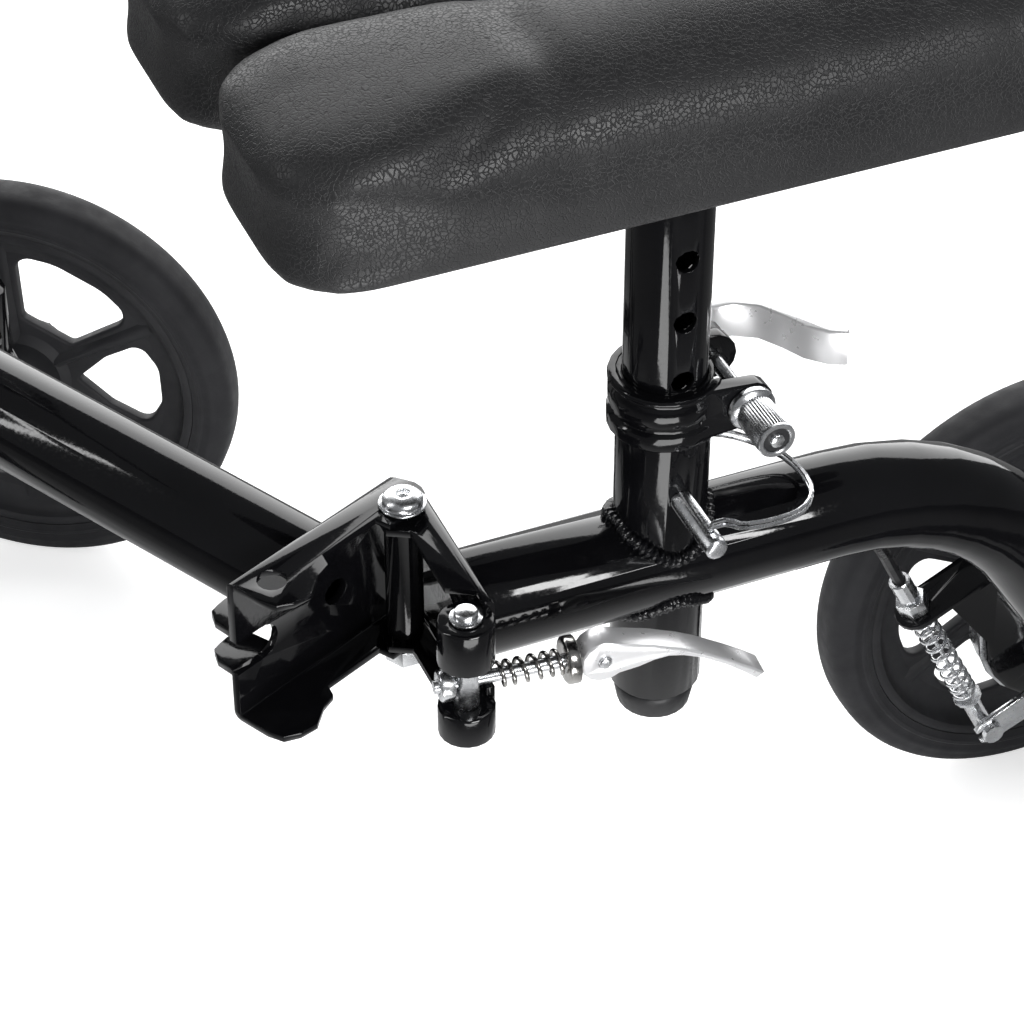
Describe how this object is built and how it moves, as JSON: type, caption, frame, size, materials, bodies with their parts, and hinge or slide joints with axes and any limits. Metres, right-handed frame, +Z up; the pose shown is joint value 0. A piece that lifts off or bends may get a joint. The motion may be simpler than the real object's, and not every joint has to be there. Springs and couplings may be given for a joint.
{
  "type": "folding knee walker",
  "caption": "Folding knee walker with a hinged single-tube frame, raised knee pads, cable brake and steerable front wheels, shown part folded",
  "frame": {"origin": "middle of the object's footprint box, on the floor", "axes": "+X to the walker's rear along the rear frame tube, +Y to the walker's right, +Z up"},
  "size_m": [0.8952, 0.7276, 0.8875],
  "materials": {
    "black_paint": "glossy black powder coat",
    "zinc": "bright zinc plate",
    "aluminium": "polished casting",
    "nickel": "nickel plate",
    "black_plastic": "matt",
    "wheel_grey": "matt",
    "tyre": "matt",
    "vinyl": "grained black vinyl over foam",
    "rubber": "matt"
  },
  "bodies": {
    "rear_frame": {"rear_main_tube": "black_paint", "rear_hinge_bracket": "black_paint", "hinge_pin": "zinc", "rear_axle": "black_paint", "seat_sleeve": "black_paint", "clamp_collar": "black_paint", "clamp_skewer": "zinc", "clamp_nut": "aluminium", "clamp_cam_seat": "black_plastic", "brake_plate": "black_paint", "brake_shoe": "black_plastic", "cable_adjuster": "zinc", "adjuster_nut": "zinc", "brake_spring": "zinc", "brake_cable_rear": "black_plastic", "brake_cable_hinge": "black_plastic"},
    "seat": {"seat_post": "black_paint", "post_end_plug": "black_plastic", "pad_plate": "black_paint", "pad_left": "vinyl", "pad_right": "vinyl"},
    "clamp_lever": {"clamp_lever": "aluminium"},
    "latch_bolt": {"latch_cross_pin": "zinc", "latch_rod": "zinc", "latch_nut": "zinc", "latch_spring": "nickel"},
    "latch_seat": {"latch_seat": "nickel"},
    "latch_lever": {"latch_lever": "aluminium"},
    "lock_pin": {"lock_pin": "zinc"},
    "lock_bail": {"lock_pin_bail": "zinc"},
    "rear_left_wheel": {"rear_left_rim": "wheel_grey", "rear_left_tyre": "tyre"},
    "rear_right_wheel": {"rear_right_rim": "wheel_grey", "rear_right_tyre": "tyre", "brake_drum": "zinc"},
    "brake_arm": {"brake_arm": "zinc"},
    "cable_anchor": {"cable_anchor": "zinc"},
    "front_frame": {"front_main_tube": "black_paint", "front_hinge_bracket": "black_paint", "head_tube": "black_paint", "brake_cable_front": "black_plastic"},
    "knuckle_left": {"knuckle_left": "black_paint"},
    "knuckle_right": {"knuckle_right": "black_paint"},
    "front_left_wheel": {"front_left_rim": "wheel_grey", "front_left_tyre": "tyre"},
    "front_right_wheel": {"front_right_rim": "wheel_grey", "front_right_tyre": "tyre"},
    "tie_rod_left": {"tie_rod_left": "zinc"},
    "tie_rod_right": {"tie_rod_right": "zinc"},
    "column": {"steering_column": "black_paint", "brake_cable_upper": "black_plastic"},
    "stem": {"stem_tube": "black_paint", "stem_clamp_skewer": "zinc"},
    "stem_fold_lever": {"stem_fold_lever": "aluminium"},
    "stem_clamp_lever": {"stem_clamp_lever": "aluminium"},
    "handlebar": {"handlebar": "black_paint", "grip_left": "rubber", "grip_right": "rubber", "brake_lever_mount": "black_plastic"},
    "brake_lever": {"brake_lever": "aluminium"}
  },
  "joints": [
    {"name": "frame_fold", "type": "hinge", "parent": "rear_frame", "child": "front_frame", "pos_m": [0.00704, -0.16149, 0], "axis": [0, 0, 1], "range_deg": [-40, 62.07], "deforming": ["brake_cable_hinge"]},
    {"name": "steering", "type": "hinge", "parent": "front_frame", "child": "column", "pos_m": [-0.18722, 0.1569, 0], "axis": [0, 0, 1], "range_deg": [-67.8, 12.2], "deforming": ["brake_cable_upper"]},
    {"name": "kingpin_left", "type": "hinge", "parent": "front_frame", "child": "knuckle_left", "pos_m": [-0.33327, 0.07948, 0], "axis": [0, 0, 1], "range_deg": [-67.8, 12.2]},
    {"name": "kingpin_right", "type": "hinge", "parent": "front_frame", "child": "knuckle_right", "pos_m": [-0.04118, 0.23433, 0], "axis": [0, 0, 1], "range_deg": [-67.8, 12.2]},
    {"name": "tie_rod_left_pin", "type": "hinge", "parent": "column", "child": "tie_rod_left", "pos_m": [-0.23699, 0.17266, 0], "axis": [0, 0, 1], "range_deg": [-12.2, 67.8]},
    {"name": "tie_rod_right_pin", "type": "hinge", "parent": "column", "child": "tie_rod_right", "pos_m": [-0.2201, 0.19745, 0], "axis": [0, 0, 1], "range_deg": [-12.2, 67.8]},
    {"name": "front_left_spin", "type": "hinge", "parent": "knuckle_left", "child": "front_left_wheel", "pos_m": [-0.35861, 0.04229, 0.1016], "axis": [0.5631, 0.8264, 0], "continuous": true},
    {"name": "front_right_spin", "type": "hinge", "parent": "knuckle_right", "child": "front_right_wheel", "pos_m": [-0.01584, 0.27152, 0.1016], "axis": [0.5631, 0.8264, 0], "continuous": true},
    {"name": "rear_left_spin", "type": "hinge", "parent": "rear_frame", "child": "rear_left_wheel", "pos_m": [0.34604, -0.33349, 0.1016], "axis": [0, 1, 0], "continuous": true},
    {"name": "rear_right_spin", "type": "hinge", "parent": "rear_frame", "child": "rear_right_wheel", "pos_m": [0.34604, -0.03449, 0.1016], "axis": [0, 1, 0], "continuous": true},
    {"name": "stem_fold", "type": "hinge", "parent": "column", "child": "stem", "pos_m": [-0.18722, 0.1569, 0.395], "axis": [0.5631, 0.8264, 0], "range_deg": [0, 50]},
    {"name": "stem_fold_catch", "type": "hinge", "parent": "stem", "child": "stem_fold_lever", "pos_m": [-0.17194, 0.14649, 0.408], "axis": [0.5631, 0.8264, 0], "range_deg": [-70, 0]},
    {"name": "handle_height", "type": "slide", "parent": "stem", "child": "handlebar", "axis": [0, 0, 1], "range_m": [-0.05, 0.15]},
    {"name": "stem_clamp", "type": "hinge", "parent": "stem", "child": "stem_clamp_lever", "pos_m": [-0.15604, 0.16022, 0.689], "axis": [0, 0, 1], "range_deg": [0, 100]},
    {"name": "brake_lever", "type": "hinge", "parent": "handlebar", "child": "brake_lever", "pos_m": [-0.12658, 0.26385, 0.869], "axis": [0, 0, 1], "range_deg": [-15, 0], "stiffness_Nm_per_rad": 1.5, "springref_deg": 5.73},
    {"name": "brake_arm", "type": "hinge", "parent": "rear_frame", "child": "brake_arm", "pos_m": [0.33504, -0.08439, 0.0825], "axis": [0, 1, 0], "range_deg": [0, 12]},
    {"name": "brake_pull", "type": "slide", "parent": "rear_frame", "child": "cable_anchor", "axis": [-0.4478, 0, 0.8942], "range_m": [0, 0.00797], "deforming": ["brake_spring"]},
    {"name": "seat_height", "type": "slide", "parent": "rear_frame", "child": "seat", "axis": [0, 0, 1], "range_m": [-0.096, 0.048]},
    {"name": "seat_clamp", "type": "hinge", "parent": "rear_frame", "child": "clamp_lever", "pos_m": [0.11504, -0.15389, 0.38], "axis": [0, 0, 1], "range_deg": [0, 110]},
    {"name": "lock_pin_draw", "type": "slide", "parent": "rear_frame", "child": "lock_pin", "axis": [0, -1, 0], "range_m": [0, 0.045]},
    {"name": "lock_bail", "type": "hinge", "parent": "lock_pin", "child": "lock_bail", "pos_m": [0.09174, -0.22249, 0.3465], "axis": [0, 0, 1], "range_deg": [-100.1, 0]},
    {"name": "latch_swing", "type": "hinge", "parent": "rear_frame", "child": "latch_bolt", "pos_m": [0.00744, -0.21609, 0.3085], "axis": [0, 0, 1], "range_deg": [-174.3, 0]},
    {"name": "latch_lever", "type": "hinge", "parent": "latch_bolt", "child": "latch_lever", "pos_m": [0.05381, -0.22072, 0.3085], "axis": [0.0993, 0.9951, 0], "range_deg": [0, 90]},
    {"name": "latch_squeeze", "type": "slide", "parent": "latch_bolt", "child": "latch_seat", "axis": [-0.9951, 0.0993, 0], "range_m": [0, 0.0006], "deforming": ["latch_spring"]}
  ],
  "couplings": [
    {"joint": "kingpin_left", "follows": "steering", "ratio": 1},
    {"joint": "kingpin_right", "follows": "steering", "ratio": 1},
    {"joint": "tie_rod_left_pin", "follows": "steering", "ratio": -1},
    {"joint": "tie_rod_right_pin", "follows": "steering", "ratio": -1},
    {"joint": "brake_arm", "follows": "brake_lever", "ratio": -0.8},
    {"joint": "brake_pull", "follows": "brake_lever", "m_per_rad": -0.030447},
    {"joint": "stem_fold_catch", "follows": "stem_fold", "ratio": -1.4},
    {"joint": "lock_bail", "follows": "lock_pin_draw", "rad_per_m": -38.785},
    {"joint": "latch_squeeze", "follows": "latch_lever", "m_per_rad": 0.00038197}
  ]
}
